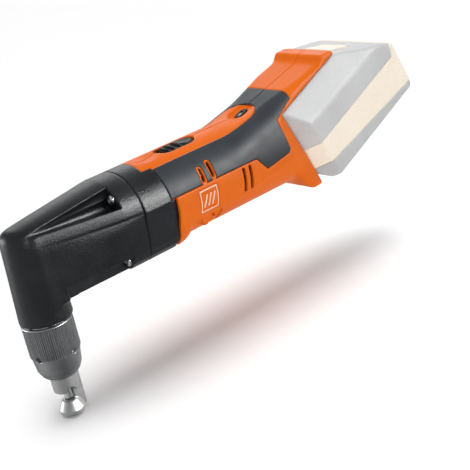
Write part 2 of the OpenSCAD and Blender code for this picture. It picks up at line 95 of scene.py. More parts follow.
def convex(U, V, corners, k):
    """Inside of a convex outline, corners in anticlockwise order."""
    out = None
    for (u0, v0), (u1, v1) in zip(corners, corners[1:] + corners[:1]):
        n = math.hypot(u1 - u0, v1 - v0)
        side = ((v1 - v0) * (U - u0) - (u1 - u0) * (V - v0)) / n
        out = side if out is None else smax(out, side, k)
    return out

def turned(du, dv, angle):
    """Coordinates along and across a direction that slopes up by angle."""
    return du * math.cos(angle) + dv * math.sin(angle), dv * math.cos(angle) - du * math.sin(angle)

def teeth(X, Y, n):
    """Runs from 0 to a half and back, n times round the Z axis."""
    return np.abs(((np.arctan2(Y, X) * n / (2 * math.pi)) % 1.0) - 0.5)

# ---------------------------------------- from a distance function to a mesh
NEAR_ZERO = 1e-6
SLOPE_STEP = 0.02
LATTICE_POINTS_AT_ONCE = 3e6

def sampled(f, axes):
    """The field at every lattice point, a few layers at a time."""
    n = [len(axis) for axis in axes]
    V = np.empty(n, np.float32)
    step = max(1, int(LATTICE_POINTS_AT_ONCE / (n[1] * n[2])))
    for i in range(0, n[0], step):
        V[i:i + step] = f(axes[0][i:i + step, None, None], axes[1][None, :, None], axes[2][None, None, :])
    V[np.abs(V) < NEAR_ZERO] = NEAR_ZERO
    return V

def crossed_cells(inside):
    """The cells with corners both inside and outside, and a lattice of their numbers."""
    n = inside.shape
    total = np.zeros([m - 1 for m in n], np.uint8)
    for d in range(8):
        i, j, k = d & 1, d >> 1 & 1, d >> 2
        total += inside[i:n[0] - 1 + i, j:n[1] - 1 + j, k:n[2] - 1 + k]
    active = (total > 0) & (total < 8)
    cell = np.argwhere(active)
    index = np.full(active.shape, -1, np.int64)
    index[tuple(cell.T)] = np.arange(len(cell))
    return cell, index

def crossings(V, cell):
    """Mean of the points where the surface crosses a cell's twelve edges, as parts of the cell."""
    pos, hits = np.zeros((len(cell), 3)), np.zeros(len(cell))
    corner = lambda d: V[cell[:, 0] + d[0], cell[:, 1] + d[1], cell[:, 2] + d[2]].astype(float)
    for axis in range(3):
        for e in range(4):
            a = [0, 0, 0]
            a[(axis + 1) % 3], a[(axis + 2) % 3] = e & 1, e >> 1
            b = list(a)
            b[axis] = 1
            va, vb = corner(a), corner(b)
            m = (va < 0) != (vb < 0)
            p = np.tile(np.array(a, float), (m.sum(), 1))
            p[:, axis] = va[m] / (va[m] - vb[m])
            pos[m] += p
            hits[m] += 1
    return pos / hits[:, None]

def settled(f, start, h):
    """Moves points along the field's slope on to the surface, each by less than a cell."""
    P, e = start.copy(), SLOPE_STEP
    for _ in range(3):
        x, y, z = P.T
        slope = np.stack([f(x + e, y, z) - f(x - e, y, z), f(x, y + e, z) - f(x, y - e, z),
                          f(x, y, z + e) - f(x, y, z - e)], 1) / (2 * e)
        move = -(f(x, y, z) / np.maximum((slope * slope).sum(1), 0.2))[:, None] * slope
        far = np.linalg.norm(move, axis=1)
        P += move * np.minimum(1, 0.4 * h / np.maximum(far, 1e-9))[:, None]
        P = start + np.clip(P - start, -0.6 * h, 0.6 * h)
    return P

def quads_between(inside, index):
    """A quad across each lattice edge that the surface crosses, facing out."""
    n = inside.shape
    quads = []
    for axis in range(3):
        b, c = (axis + 1) % 3, (axis + 2) % 3
        lead = [slice(1, m - 1) for m in n]
        lead[axis] = slice(0, n[axis] - 1)
        ahead = list(lead)
        ahead[axis] = slice(1, n[axis])
        A, B = inside[tuple(lead)], inside[tuple(ahead)]
        at = np.argwhere(A != B)
        out_way = A[tuple(at.T)]
        at = at + [0 if i == axis else 1 for i in range(3)]
        ring = []
        for db, dc in ((-1, -1), (0, -1), (0, 0), (-1, 0)):
            q = at.copy()
            q[:, b] += db
            q[:, c] += dc
            ring.append(index[tuple(q.T)])
        q = np.stack(ring, 1)
        q[~out_way] = q[~out_way][:, ::-1]
        quads.append(q)
    return np.concatenate(quads)

def surface(name, f, lo, hi, h, body, slot, replaces=None, material=None):
    """Meshes the solid where f is negative, with a vertex in each cell of size h that its surface crosses."""
    lo = np.array(lo, float) - 1.5 * h
    n = [int(math.ceil((hi[i] + 1.5 * h - lo[i]) / h)) + 1 for i in range(3)]
    V = sampled(f, [(lo[i] + h * np.arange(n[i])).astype(np.float32) for i in range(3)])
    inside = V < 0
    cell, index = crossed_cells(inside)
    points = settled(f, lo + (cell + crossings(V, cell)) * h, h)
    quads = quads_between(inside, index)
    mesh = bpy.data.meshes.new(name)
    mesh.vertices.add(len(points))
    mesh.vertices.foreach_set("co", (points * MM).astype(np.float32).ravel())
    mesh.loops.add(4 * len(quads))
    mesh.loops.foreach_set("vertex_index", quads.astype(np.int32).ravel())
    mesh.polygons.add(len(quads))
    mesh.polygons.foreach_set("loop_start", np.arange(0, 4 * len(quads), 4, dtype=np.int32))
    mesh.update(calc_edges=True)
    mesh.validate()
    mesh.shade_smooth()
    mesh.materials.append(material or FINISHES[slot])
    piece = bpy.data.objects.new(name, mesh)
    bpy.context.scene.collection.objects.link(piece)
    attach(piece, body)
    if replaces:
        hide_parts(replaces)

# ---------------------------------------- materials
def finish_of(name, dark, light, rough, metallic=0.0, patch=30.0, grain=1600.0, bump=0.2, depth=0.00015,
              wear=None, wear_at=(0.52, 0.58), scratch=0.0, coat=0.0, stretch=(1, 1, 1), sheen=0.0,
              mirror=0.5):
    """A worn, grained surface: dark and light patches, uneven gloss, fine relief, and paler rubbed edges.

    rough is the least and most roughness, patch and grain are how fine the large and small noise is, depth
    is the relief's in metres, wear is the colour of rubbed edges, and mirror is the shader's specular level.
    """
    m = bpy.data.materials.new(name)
    m.use_nodes = True
    t = m.node_tree
    link = t.links.new
    def node(kind, **inputs):
        n = t.nodes.new("ShaderNode" + kind)
        for key, value in inputs.items():
            n.inputs[key.replace("_", " ")].default_value = value
        return n
    shader = t.nodes["Principled BSDF"]
    where = node("TexCoord").outputs["Object"]
    squeeze = node("Mapping", Scale=stretch)
    link(where, squeeze.inputs["Vector"])
    def noise(scale, detail=3.0, source=None):
        n = node("TexNoise", Scale=scale, Detail=detail, Roughness=0.55)
        link(source or where, n.inputs["Vector"])
        return n.outputs["Fac"]
    def ramp(value, *points):
        """Turns a value into a grey or a colour, between the points (where, grey or colour)."""
        n = t.nodes.new("ShaderNodeValToRGB")
        for element, (at, colour) in zip(n.color_ramp.elements, points):
            element.position = at
            element.color = (*(colour if isinstance(colour, tuple) else (colour,) * 3), 1)
        link(value, n.inputs["Fac"])
        return n.outputs["Color"]
    def mixed(kind, factor, a, b):
        n = t.nodes.new("ShaderNodeMix")
        n.data_type = "RGBA"
        n.blend_type = kind
        for key, value in ((0, factor), (6, a), (7, b)):
            if isinstance(value, bpy.types.NodeSocket):
                link(value, n.inputs[key])
            else:
                n.inputs[key].default_value = value if key == 0 else (*value, 1)
        return n.outputs[2]
    colour = ramp(noise(patch, 4), (0.3, dark), (0.7, light))
    speck = ramp(noise(grain * 0.5, 2, squeeze.outputs["Vector"]), (0.35, 0.94), (0.65, 1.0))
    colour = mixed("MULTIPLY", 1.0, colour, speck)
    if wear:
        edge = ramp(node("NewGeometry").outputs["Pointiness"], (wear_at[0], 0.0), (wear_at[1], 1.0))
        patchy = ramp(noise(220, 5), (0.42, 0.0), (0.62, 0.85))
        colour = mixed("MIX", mixed("MULTIPLY", 1.0, edge, patchy), colour, wear)
    link(colour, shader.inputs["Base Color"])
    gloss = ramp(noise(patch * 2.3, 5), (0.3, rough[0]), (0.7, rough[1]))
    if scratch:
        lines = node("Mapping", Scale=(60, 900, 900))
        link(where, lines.inputs["Vector"])
        streak = ramp(noise(1.0, 4, lines.outputs["Vector"]), (0.4, 0.6), (0.6, 1.0))
        gloss = mixed("MULTIPLY", scratch, gloss, streak)
    link(gloss, shader.inputs["Roughness"])
    shader.inputs["Metallic"].default_value = metallic
    shader.inputs["Coat Weight"].default_value = coat
    shader.inputs["Sheen Weight"].default_value = sheen
    shader.inputs["Specular IOR Level"].default_value = mirror
    if bump:
        relief = node("Bump", Strength=bump, Distance=depth)
        link(noise(grain, 3, squeeze.outputs["Vector"]), relief.inputs["Height"])
        link(relief.outputs["Normal"], shader.inputs["Normal"])
    return m

FINISHES = {
    "black_metal": finish_of(
        "cast_black", (0.007, 0.0085, 0.0105), (0.013, 0.0155, 0.018), (0.27, 0.38), grain=1150, bump=0.7,
        depth=0.00036, wear=(0.09, 0.09, 0.095), wear_at=(0.58, 0.7), mirror=0.4),
    "black_plastic": finish_of(
        "moulded_black", (0.009, 0.009, 0.0105), (0.015, 0.015, 0.017), (0.42, 0.56), grain=1900, bump=0.3,
        depth=0.00012, mirror=0.22),
    "orange_plastic": finish_of(
        "moulded_orange", (0.76, 0.135, 0.004), (0.82, 0.155, 0.006), (0.36, 0.48), grain=2200, bump=0.16,
        depth=0.0001, wear=(0.9, 0.27, 0.07), wear_at=(0.55, 0.7), mirror=0.12),
    "grip_rubber": finish_of(
        "soft_grip", (0.029, 0.034, 0.04), (0.042, 0.048, 0.056), (0.42, 0.54), grain=1800, bump=0.4,
        sheen=0.02, mirror=0.24),
    "nut_steel": finish_of(
        "blued_steel", (0.3, 0.305, 0.315), (0.48, 0.485, 0.495), (0.3, 0.42), metallic=1.0, grain=2500,
        bump=0.12, depth=0.00006, wear=(0.55, 0.55, 0.56), wear_at=(0.55, 0.68)),
    "die_steel": finish_of(
        "hardened_steel", (0.46, 0.465, 0.47), (0.58, 0.58, 0.585), (0.46, 0.58), metallic=1.0, grain=2500,
        bump=0.1, depth=0.00005, wear=(0.7, 0.7, 0.71), wear_at=(0.54, 0.66), scratch=0.5),
    "bright_steel": finish_of(
        "ground_steel", (0.68, 0.69, 0.7), (0.8, 0.8, 0.81), (0.2, 0.34), metallic=1.0, grain=3000, bump=0.05,
        depth=0.00004, scratch=0.6),
    "bronze": finish_of(
        "bronze", (0.42, 0.24, 0.09), (0.56, 0.34, 0.13), (0.25, 0.42), metallic=1.0, grain=3500,
        depth=0.00005),
    "copper": finish_of(
        "copper_wire", (0.45, 0.16, 0.07), (0.62, 0.25, 0.11), (0.2, 0.4), metallic=1.0, grain=900, bump=0.6,
        depth=0.0002, stretch=(1, 4, 1)),
    "board": finish_of(
        "circuit_board", (0.01, 0.07, 0.03), (0.02, 0.12, 0.05), (0.25, 0.45), grain=700, bump=0.25,
        depth=0.00008),
    "lens": finish_of(
        "smoked_lens", (0.012, 0.008, 0.008), (0.024, 0.016, 0.015), (0.34, 0.44), grain=900, bump=0.03,
        mirror=0.12),
    "badge": finish_of("badge", (0.9, 0.6, 0.42), (0.95, 0.7, 0.52), (0.26, 0.36), grain=1500, bump=0.1),
    "pack_grey": finish_of(
        "pale_grey_plastic", (0.5, 0.505, 0.51), (0.58, 0.585, 0.59), (0.36, 0.5), grain=2000, depth=0.00008,
        mirror=0.2),
    "pack_light": finish_of(
        "pale_plastic", (0.55, 0.553, 0.56), (0.61, 0.613, 0.62), (0.38, 0.5), grain=2000, depth=0.00008,
        mirror=0.2),
    "pack_cream": finish_of(
        "cream_plastic", (0.94, 0.83, 0.69), (0.97, 0.87, 0.74), (0.38, 0.5), grain=2000, depth=0.00008,
        mirror=0.2),
    "cell": finish_of(
        "cell_wrap", (0.05, 0.14, 0.3), (0.08, 0.2, 0.4), (0.18, 0.3), grain=1200, bump=0.08, coat=0.3),
}
# Pale grey for the thin sheet in the lamp: partly the window's own colour, partly a painted highlight in the
# middle of the lamp.
window_and_highlight_finish = finish_of("lamp_window_and_painted_highlight", (0.3, 0.3, 0.29), (0.4, 0.4, 0.39), (0.3, 0.4), grain=1500, bump=0.05)
for part in frame["record"]["subparts"]:
    mesh = frame["nodes"][part["node"]].data
    mesh.materials.clear()
    mesh.materials.append(FINISHES[part["material_slot"]])

# ---------------------------------------- gear head and middle housing
BARREL_R, BARREL_Z, SHELL_T = 32.4, 119.0, 3.0
BORE_R = BARREL_R - SHELL_T
SEAM_1, SEAM_2, SEAM_3 = 77.3, 100.3, 105.0    # head to ring, ring to grips, ring to shells below the crease
TAPER = 62.0                                   # the head narrows from here to the nose
NOSE_ARCH_R = 25.0
CREASE, KEEL_Z, BOSS_Z = 125.0, 87.2, 76.0     # heights of the crease, of the keel and of the boss's mouth
SHOULDER_H = 14.0                              # from the crease to where the shoulder is lost in the barrel
CRANK_Z, MOTOR_Z = 107.0, 121.4
KEEL_HEIGHTS, KEEL_HALVES = [KEEL_Z, 92, 97, 111], [19.6, 24.6, 26.7, 29.3]
HIGH_SCREW, LOW_SCREW = (18.5, BARREL_Z + 20.5), (20.0, 94.0)       # sideways and up
SCREW_R, SCREW_HEAD_R, SCREW_HEAD_H, SCREW_L = 1.6, 3.6, 2.6, 33.9
TONGUE_X, TONGUE_HALF, TONGUE_Z = 92.5, 15, 140                     # the shells reach over the ring here
HEAD_BORES_Z = [(70, 88, 15), (76, 127, 13), (120, 137, 8), (130, 139.5, 6)]        # from, to, radius
HEAD_BORES_X = [(2, 14, 12.2, CRANK_Z), (13.5, 21, 11, CRANK_Z), (14, 30, 9, CRANK_Z),
                (24, 90, 20, 113)]                                  # from, to, radius, height
RING_BORES = [(70, 84.5, 11, CRANK_Z), (70, 82.3, 5, MOTOR_Z), (70, 88, 3, MOTOR_Z), (87, 94, 11, MOTOR_Z),
              (92, 105, 9.5, MOTOR_Z), (94, 120, 22, BARREL_Z)]

def keel_side(Y, Z):
    """The keel's section, with a shoulder above the crease."""
    half = np.interp(Z, KEEL_HEIGHTS + [CREASE, CREASE + 2, CREASE + SHOULDER_H],
                     KEEL_HALVES + [31.75, 30.6, 14])
    side = (np.abs(Y) - half) * np.where(Z > CREASE + 1, 0.58, 0.95)
    return smax(smax(side, KEEL_Z - Z, 1.4), Z - CREASE - SHOULDER_H, 0.3)

def head_keel(X, Y, Z):
    """The same section, with its crease rounded off more and more towards the nose."""
    y = np.abs(Y)
    side = (y - np.interp(Z, KEEL_HEIGHTS + [150], KEEL_HALVES + [36.1])) * 0.95
    shoulder = (y - 30.6) * 0.586 + (Z - CREASE - 2) * 0.8105
    side = smax(side, shoulder, np.interp(X, [0, TAPER, SEAM_1], [17.0, 6.0, 1.4]))
    return smax(smax(side, KEEL_Z - Z, 1.4), Z - CREASE - SHOULDER_H, 0.3)

def arch(Y, Z, r):
    """The barrel's upper part, down to the crease along its sides."""
    return smax(around_x(Y, Z, BARREL_Z) - r, CREASE - Z, 0.5)

def head_screws_at(X, Y, Z, x0, x1, r):
    """Four rods on the axes of the head's screws."""
    lines = [around_x(np.abs(Y), Z, z, y) for y, z in (HIGH_SCREW, LOW_SCREW)]
    return smax(join(*lines) - r, slab(X, x0, x1), 0.3)

def head_outside(X, Y, Z):
    """Arch and keel, narrowed to the round nose in plan, above a round boss."""
    grown = (BARREL_R - NOSE_ARCH_R) * np.minimum(X, TAPER) / TAPER
    body = smin(arch(Y, Z, NOSE_ARCH_R + grown), head_keel(X, Y, Z), 0.8)
    nose = around_z(X, Y) - np.interp(Z, [BOSS_Z, 106, 150], [18.3, 16.9, 15.0])
    body = join(body, meet(nose - 9, slab(Z, 70, 106)))
    flare = np.interp(X, [-2, 28, TAPER, SEAM_1], [16.8, 24, 31.8, 33.4])
    plan = smin(smax((np.abs(Y) - flare) * 0.97, -2 - X, 3), nose, 4)
    under = smax(smin(KEEL_Z - Z, nose - 0.8, 3.5), BOSS_Z - Z, 1.0)
    body = smax(smax(body, plan, 7.5), under, 0.8)
    return smax(body, X - SEAM_1, 0.9)

def screw_channels(X, Y, Z):
    """A double groove that deepens from the nose to the upper screw, and a rebate along the keel."""
    y = np.abs(Y)
    deep = np.interp(X, [-4, TAPER], [0.0, 1.0])
    pocket = smax(around_x(y, Z, 139 + 2.5 * deep, 14 + 7.5 * deep) - 1.2 - 7.8 * deep, X - TAPER, 0.5)
    groove = smax(around_x(y, Z, 139 - 4.0 * deep, 14 + 2.6 * deep) - 0.8 - 4.9 * deep, X - TAPER, 0.5)
    edge, top = 22.8 - 0.0175 * (TAPER - X), 92.2
    rebate = join(around_x(y, Z, top, edge), meet(edge - y, Z - top)) - 5.3
    return join(pocket, groove), smax(rebate, slab(X, 12, TAPER), 0.6)

def gear_head(X, Y, Z):
    body = head_outside(X, Y, Z)
    for channel in screw_channels(X, Y, Z):
        body = cut(body, channel, 1.0)
    body = cut(body, head_screws_at(X, Y, Z, 59.2, 62.1, 3.8), 0.3)
    inside = join(head_screws_at(X, Y, Z, 50, 90, 2.1), *[rod_z(X, Y, Z, *bore) for bore in HEAD_BORES_Z],
                  *[rod_x(X, Y, Z, *bore) for bore in HEAD_BORES_X])
    return cut(body, inside, 0.5)

def middle_housing(X, Y, Z):
    body = smin(arch(Y, Z, BARREL_R), keel_side(Y, Z), 0.8)
    body = smax(body, slab(X, SEAM_1, SEAM_3), 0.9)
    body = smax(body, join(X - SEAM_2, Z - CREASE), 0.6)
    # a sunk band between the black housing and the orange shells
    body = cut(body, meet(SEAM_3 - 2.6 - X, -1.3 - keel_side(Y, Z)), 0.3)
    body = cut(body, meet(TONGUE_X - X, np.abs(Y) - TONGUE_HALF, TONGUE_Z - Z), 0.6)
    body = join(body, rod_x(X, Y, Z, SEAM_1 + 4, 110, BORE_R - 0.1, BARREL_Z))
    inside = join(head_screws_at(X, Y, Z, 50, 98, SCREW_R), *[rod_x(X, Y, Z, *bore) for bore in RING_BORES])
    return cut(body, inside, 0.5)

def head_screws(X, Y, Z):
    """Four domed screws with a six-sided socket."""
    low = Z < (HIGH_SCREW[1] + LOW_SCREW[1]) / 2
    dy = np.abs(Y) - np.where(low, LOW_SCREW[0], HIGH_SCREW[0])
    dz = Z - np.where(low, LOW_SCREW[1], HIGH_SCREW[1])
    r = np.sqrt(dy ** 2 + dz ** 2)
    head = smax(r - SCREW_HEAD_R, slab(X, TAPER - SCREW_HEAD_H, TAPER), 0.4)
    head = smax(head, np.sqrt((X - TAPER - SCREW_HEAD_H) ** 2 + r ** 2) - 2 * SCREW_HEAD_H, 0.3)
    six = meet(*[np.abs(dy * c + dz * s) for c, s in ((1, 0), (0.5, 0.866), (0.5, -0.866))]) - 1.35
    head = cut(head, meet(six, X - TAPER + 0.9), 0.2)
    return join(head, smax(r - SCREW_R, slab(X, TAPER - 0.1, TAPER + SCREW_L), 0.4))

surface("head_casting", gear_head, (-18.4, -33, 75.5), (77.6, 33, 152), 0.8, "housing", "black_metal",
        "gear_head")
surface("middle_ring", middle_housing, (77, -33, 86), (110.5, 33, 152), 0.75, "housing", "black_metal",
        "middle_housing")
surface("head_screw_set", head_screws, (59.4, -23.7, 90.4), (95.9, 23.7, 143.1), 0.34, "housing",
        "bright_steel", "head_screws")

# ---------------------------------------- orange shells and grips
TILT, NECK = math.radians(24), math.radians(16)
PACK_H = 71.5                                  # the battery's height, square to its slide
FOOT_W = 27.25                                 # half the width of the neck and foot
GRIP_T, FIT = 1.2, 0.12                        # the soft layer's thickness, and its clearance all round
FOOT_U = -11.4                                 # the shells' underside ends here, in the slide's frame
TOE = [(222, 100), (229, 86.6), (237, 79.5), (247, 80.5), (262, 140), (240, 140)]
LIP = [(276, 165), (281, 175), (278.5, 177.3), (267.5, 176.8), (264, 172), (258, 163)]
VENTS = [(131.5, 126.5, 136.5), (140.3, 127, 138.3), (167.2, 105.5, 124.3), (173.4, 105.5, 124.3),
         (135.5, 88.0, 101.2), (144, 88.0, 101.2)]                  # X, and from and to in Z
VENT_R, RIM_R, RIM_INSET = 1.4, 2.3, 1.0       # half widths of a vent and of the land round an upper one
SHELL_SCREWS = [(118, 94.5), (178, 94.5), (224, 97), (198, 131), (214, 150)]      # X and Z
BOSS_R, SHELL_SCREW_R, SINK_R = 4, 1.5, 3.2    # radii of a screw boss, of its hole and of its sunk mouth
BUTTON_HOLE = (116.8, 151.2, 8.5)              # from and to in X, and half the width
THUMB_X, THUMB_Z, THUMB_R = 105.5, 179.2, 30   # the ball that hollows the thumb rest
BADGE_SEAT_X, BADGE_SEAT_Z, BADGE_DEPTH = (123.4, 141.2), (104.6, 123), 1.2
TERMINAL_U, TERMINAL_V, TERMINAL_HALF = (-18, -8), (50, 63), 16.2   # opening for the battery's contacts
LUG_BOXES = [((184, -29, 106), (222, 29, 108)), ((179, -8, 145.5), (194, 8, 150))]
LAMP_HALF = 2.7                                # from the lamp's middle to the centre of its round end

def pack_frame(X, Z):
    """Along and square to the battery's slide."""
    return turned(X - 256.4, Z - 85.8, TILT)

def neck_frame(X, Z):
    return turned(X - 192, Z - 119.6, NECK)

def lens_frame(X, Z):
    return turned(X - 200.5, Z - 151.4, NECK)

def barrel(Y, Z, r=BARREL_R):
    return around_x(Y, Z, BARREL_Z) - r

def neck(X, Y, Z, inset):
    """The neck behind the barrel, with upper edges that sharpen towards the battery."""
    along, across = neck_frame(X, Z)
    round_off = np.interp(along, [25, 62], [15.0, 6.0])
    y = np.abs(Y) - FOOT_W + round_off
    z = across - 30 + round_off
    corner = np.sqrt(np.maximum(y, 0) ** 2 + np.maximum(z, 0) ** 2) + np.minimum(np.maximum(y, z), 0)
    return meet(corner - round_off + inset, -6 - across, slab(along, -70, 108))

def waist(X, Y, Z, inset=0.0):
    """Barrel and neck as one smooth form."""
    along = neck_frame(X, Z)[0]
    k = np.interp(along, [-45, 25], [0.6, 14.0]) * np.interp(np.abs(Y), [8, 24], [0.35, 1.0])
    return smin(barrel(Y, Z) + inset, neck(X, Y, Z, inset), k)

def tongue(X, Y, Z):
    """The part of the shells that reaches forward over the middle housing."""
    return meet(barrel(Y, Z), slab(X, TONGUE_X, 102), np.abs(Y) - TONGUE_HALF, TONGUE_Z - Z)

def keel_step(X, Y, Z):
    """The lower flank, as wide as the head's keel, that fades into the barrel."""
    step = smax(smax(keel_side(Y, Z), Z - CREASE - 2, 0.3), slab(X, SEAM_3, 130), 0.4)
    return smax(step, (X - 119) * 0.6 + (np.abs(Y) - 20) * 0.4 + (94 - Z) * 0.4, 7.0)

def shell_outer(X, Y, Z):
    out = smax(waist(X, Y, Z), slab(X, SEAM_2, 290), 0.5)
    out = smin(out, tongue(X, Y, Z), 0.3)
    out = smin(out, keel_step(X, Y, Z), 2.0)
    flank = np.abs(Y) - FOOT_W
    out = smin(out, smax(convex(X, Z, TOE, 2.0), flank, 4.5), 4.0)
    out = smin(out, smax(convex(X, Z, LIP, 1.5), flank, 3.5), 2.0)
    out = cut(out, meet(X - SEAM_3, Z - CREASE), 0.5)
    u, v = pack_frame(X, Z)
    out = smax(out, (flank - 0.45 * np.maximum(FOOT_U - u, 0)) * 0.9, 2.2)
    out = cut(out, meet(FOOT_U - u, v - PACK_H - 0.4), 0.6)
    return smax(out, X - 281, 0.5)

def shell_bore(X, Y, Z):
    """Room inside the barrel, the front lip and the neck."""
    u, v = pack_frame(X, Z)
    bore = barrel(Y, Z, BORE_R)
    front = meet(bore, slab(X, 90, 262), u + 21)
    lip = meet(bore, slab(X, 90, SEAM_2))
    rear = meet(neck(X, Y, Z, SHELL_T), slab(X, 186, 276), PACK_H + 3.4 - v)
    return join(front, lip, rear)

def at_screws(X, Y, Z, y0, y1, r):
    """Rods on the axes of the shell's screws."""
    return join(*[rod_y(X, Y, Z, y0, y1, r, x, z) for x, z in SHELL_SCREWS])

def long_hole(X, Y, x0, x1, w):
    """Outline of a slot with round ends, seen from above."""
    return pill(X - (x0 + x1) / 2, Y, (x1 - x0) / 2 - w, w)

def grip_zone(X, Y, Z):
    """Inside is where the soft layer may lie, whatever the depth."""
    low = np.interp(X, [SEAM_2, 181, 184, 189.5, 215.5], [125.6, 125.6, 121.5, 115, 120.2])
    rear = np.maximum(X - np.interp(Z, [120.2, 145, 156], [214.5, 210.5, 229]), X - 230)
    zone = smax((low - Z) * 0.9, rear * 0.85, 3.0)
    zone = smax(zone, SEAM_2 + 0.1 - X, 0.4)
    return cut(zone, np.sqrt(np.maximum(X - 193.5, 0) ** 2 + Y ** 2) - 16.3, 1.5)

def vents(X, Z, which=VENTS, inset=VENT_R, r=VENT_R):
    """Upright outlines with round ends of radius r, whose centres are inset from the vents' ends."""
    return join(*[pill(Z - (z0 + z1) / 2, X - x, (z1 - z0) / 2 - inset, r) for x, z0, z1 in which])

def vent_rims(X, Z):
    """Lands of the shell that stand up through the soft layer round the two upper vents."""
    return vents(X, Z, VENTS[:2], RIM_INSET, RIM_R)

def grip_floor(X, Y, Z):
    """Outside of the surface that the grip lies on."""
    return -waist(X, Y, Z, GRIP_T)

def lugs(X, Y, Z):
    """Screw bosses and two cross walls, within the bore."""
    walls = [box3(X, Y, Z, lo, hi) for lo, hi in LUG_BOXES]
    solid = join(at_screws(X, Y, Z, -30, 30, BOSS_R), *walls)
    return meet(solid, barrel(Y, Z, BORE_R + 0.5), slab(X, 111, 232))

def lamp_openings(X, Y, Z):
    """The oval dish round the lamp, and the lamp's hole."""
    a, b = lens_frame(X, Z)
    dish = smax(pill(a - 0.5, Y, 3.5, 7.5) - 0.5 * (b - 1.5), -0.2 - b, 1.5)
    return np.maximum(dish, b - 12), np.maximum(pill(a, Y, LAMP_HALF, 3.5), slab(b, -10, 20))

def shell(X, Y, Z):
    body = cut(shell_outer(X, Y, Z), shell_bore(X, Y, Z))
    body = join(body, lugs(X, Y, Z))
    body = cut(body, vents(X, Z), 0.4)
    body = cut(body, at_screws(X, Y, Z, -12, 48, SHELL_SCREW_R), 0.2)
    body = cut(body, at_screws(X, Y, Z, 15, 75, SINK_R), 0.4)
    body = cut(body, np.maximum(long_hole(X, Y, *BUTTON_HOLE), 140 - Z), 1.2)
    thumb_rest = np.sqrt((X - THUMB_X) ** 2 + (Y * 0.8) ** 2 + (Z - THUMB_Z) ** 2) - THUMB_R
    body = cut(body, thumb_rest, 1.0)
    dish, hole = lamp_openings(X, Y, Z)
    body = cut(cut(body, dish, 0.8), hole, 0.3)
    badge_seat = meet(slab(X, *BADGE_SEAT_X), slab(Z, *BADGE_SEAT_Z), -barrel(Y, Z) - BADGE_DEPTH)
    body = cut(body, badge_seat, 0.4)
    u, v = pack_frame(X, Z)
    body = cut(body, meet(slab(u, *TERMINAL_U), np.abs(Y) - TERMINAL_HALF, slab(v, *TERMINAL_V)), 0.3)
    grip_seat = meet(cut(grip_zone(X, Y, Z), vent_rims(X, Z), 0.3), grip_floor(X, Y, Z))
    return cut(body, grip_seat, 0.5)

def grip(X, Y, Z):
    out = smax(waist(X, Y, Z), grip_floor(X, Y, Z), 0.3)
    out = smax(out, grip_zone(X, Y, Z) + FIT, 0.9)
    out = cut(out, at_screws(X, Y, Z, 10, 70, SINK_R), 0.3)
    return cut(out, vent_rims(X, Z) - FIT, 0.5)

def one_side(f, side, gap=0.04):
    """The part of a solid that lies to one side of the middle plane."""
    return lambda X, Y, Z: smax(f(X, Y, Z), gap - side * Y, 0.5)

SIDES = ((-1, "left"), (1, "right"))
for side, tail in SIDES:
    y0, y1 = sorted((-0.3 * side, 33 * side))
    surface("shell_" + tail + "_skin", one_side(shell, side), (92, y0, 79), (281.3, y1, 178), 0.8, "housing",
            "orange_plastic", "shell_" + tail)
    surface("grip_" + tail + "_skin", one_side(grip, side), (100, y0, 114), (233, y1, 165), 0.55, "housing",
            "grip_rubber", "grip_" + tail)

# ---------------------------------------- nut, collar and die
NUT_LOW, NUT_TOP = 32.7, 74.9
KNURL_LOW, KNURL_TOP, KNURL_RIDGES, KNURL_SLOPE = 50.6, 73.6, 76, 2.7
SPANNER_Z, SPANNER_R, SPANNER_FLOOR = 51.6, 2.1, 14.6
COLLAR_NOTCHES = 8

def die_nut(X, Y, Z):
    """Taper, knurled grip and four spanner holes at the knurl's lower edge."""
    r = around_z(X, Y)
    outer = np.interp(Z, [NUT_LOW, 35.2, 39.2, KNURL_LOW, 51.0, 74, NUT_TOP],
                      [11.6, 13.7, 15.6, 17.1, 18, 18, 17.3])
    inner = np.interp(Z, [46.5, 46.7, 52.9, 53.1], [9.4, 13.9, 13.9, 15.05])
    knurled = np.clip(np.minimum(Z - KNURL_LOW, KNURL_TOP - Z) * 2.5, 0, 1)
    ridges = teeth(X, Y, KNURL_RIDGES) * KNURL_SLOPE * knurled
    body = smax((r - outer + ridges) * 0.72, slab(Z, NUT_LOW, NUT_TOP), 0.8)
    body = cut(body, r - inner, 0.3)
    for a in (math.radians(-72 + 90 * k) for k in range(4)):
        across = np.sqrt((Y * math.cos(a) - X * math.sin(a)) ** 2 + (Z - SPANNER_Z) ** 2)
        body = cut(body, meet(across - SPANNER_R, SPANNER_FLOOR - X * math.cos(a) - Y * math.sin(a)), 0.2)
    return body

def die(X, Y, Z):
    """Shank and flange in the nut, the column behind the cut, and the foot that the sheet rests on."""
    r = around_z(X, Y)
    body = join(rod_z(X, Y, Z, 20, 48, 9.2, k=1.0), rod_z(X, Y, Z, 47, 53, 13.5))
    column = smax(box3(X, Y, Z, (2.6, -3.5, 4), (12, 3.5, 32.2), 0.8), r - 11.2, 0.6)
    foot = r - np.interp(Z, [0, 1.2, 3, 5, 9, 12], [5.2, 7.6, 9.0, 9.0, 7.0, 5.4])
    body = smin(smin(body, column, 0.5), smax(foot * 0.8, slab(Z, 0, 12), 1.2), 0.6)
    body = cut(body, r - 3.3, 0.5)
    return cut(body, rod_y(X, Y, Z, -20, 20, 3.4, -1, 20))

def collar(X, Y, Z):
    """The locating ring in the mouth of the boss, with eight notches in the rim that shows."""
    r = around_z(X, Y)
    sleeve = smax(slab(r, 11, 15), slab(Z, 53.4, 88), 0.4)
    rim = smax(slab(r, 14.5, 17.2), slab(Z, 75.3, BOSS_Z - 0.02), 0.25)
    return join(sleeve, cut(rim, meet((teeth(X, Y, COLLAR_NOTCHES) - 0.1) * 12, 15.6 - r), 0.2))

